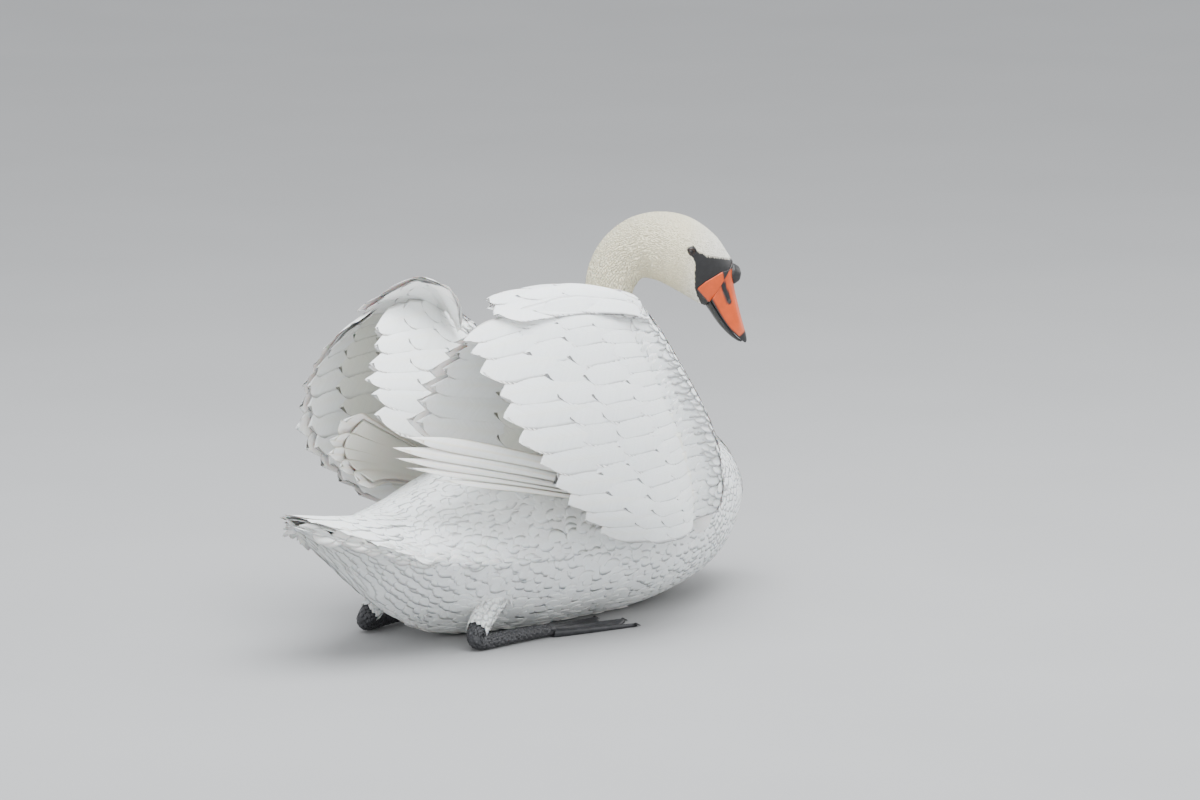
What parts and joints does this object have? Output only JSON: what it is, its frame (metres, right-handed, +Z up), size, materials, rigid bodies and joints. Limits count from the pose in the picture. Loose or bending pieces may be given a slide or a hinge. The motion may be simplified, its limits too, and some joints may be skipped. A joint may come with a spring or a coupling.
{
  "type": "mute swan model",
  "caption": "Life-size still model of an adult mute swan afloat, wings arched over the back and head turned to its right, resting on its belly.",
  "frame": {"origin": "middle of the flat on the belly, on the floor", "axes": "+X towards the swan's front, +Y towards its left, +Z up"},
  "size_m": [0.7445, 0.3979, 0.44],
  "materials": {
    "plumage_white": "soft matt white feathers",
    "plumage_cream": "short matt cream-washed feathers",
    "bill_orange": "satin orange horn, pinker towards the tip",
    "bill_black": "satin black horn",
    "eye": "wet dark brown eye",
    "foot_skin": "scaly dark grey skin"
  },
  "bodies": {
    "root": {"trunk": "plumage_white", "tail": "plumage_white", "neck_lower": "plumage_white", "neck_middle": "plumage_white", "neck_upper": "plumage_cream", "head": "plumage_cream", "bill_upper": "bill_orange", "bill_lower": "bill_black", "bill_knob": "bill_black", "eye_left": "eye", "eye_right": "eye", "wing_left_arm": "plumage_white", "wing_left_coverts": "plumage_white", "wing_left_secondaries": "plumage_white", "wing_left_tertials": "plumage_white", "wing_left_scapulars": "plumage_white", "wing_left_primaries": "plumage_white", "leg_left": "foot_skin", "foot_left": "foot_skin", "wing_right_arm": "plumage_white", "wing_right_coverts": "plumage_white", "wing_right_secondaries": "plumage_white", "wing_right_tertials": "plumage_white", "wing_right_scapulars": "plumage_white", "wing_right_primaries": "plumage_white", "leg_right": "foot_skin", "foot_right": "foot_skin"}
  },
  "joints": []
}
